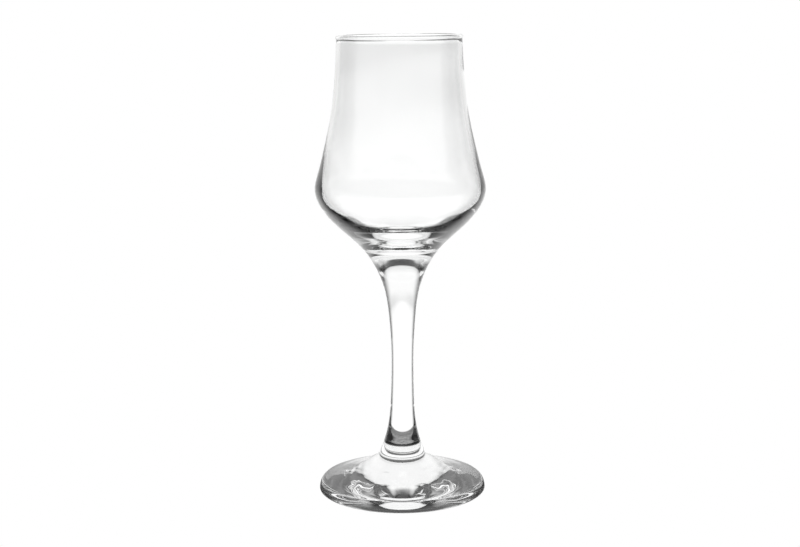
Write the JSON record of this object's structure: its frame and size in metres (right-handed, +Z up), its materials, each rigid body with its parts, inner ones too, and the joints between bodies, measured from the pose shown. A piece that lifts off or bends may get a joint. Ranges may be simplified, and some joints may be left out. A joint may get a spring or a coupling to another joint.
{
  "type": "grappa glass",
  "caption": "Clear stemmed glass for grappa: a low-bellied bowl drawn in to a beaded rim, on a slim flared stem and a round, gently sloping foot.",
  "frame": {"origin": "centre of the circle that the foot stands on", "axes": "+Z up along the axis of the glass, from the foot to the mouth; the camera of the picture is towards -Y"},
  "size_m": [0.0592, 0.0592, 0.1602],
  "materials": {
    "bowl_glass": "clear, colourless, fire-polished",
    "stem_glass": "clear, colourless, fire-polished",
    "foot_glass": "clear, colourless, fire-polished"
  },
  "bodies": {
    "root": {"bowl": "bowl_glass", "stem": "stem_glass", "foot": "foot_glass"}
  },
  "joints": []
}
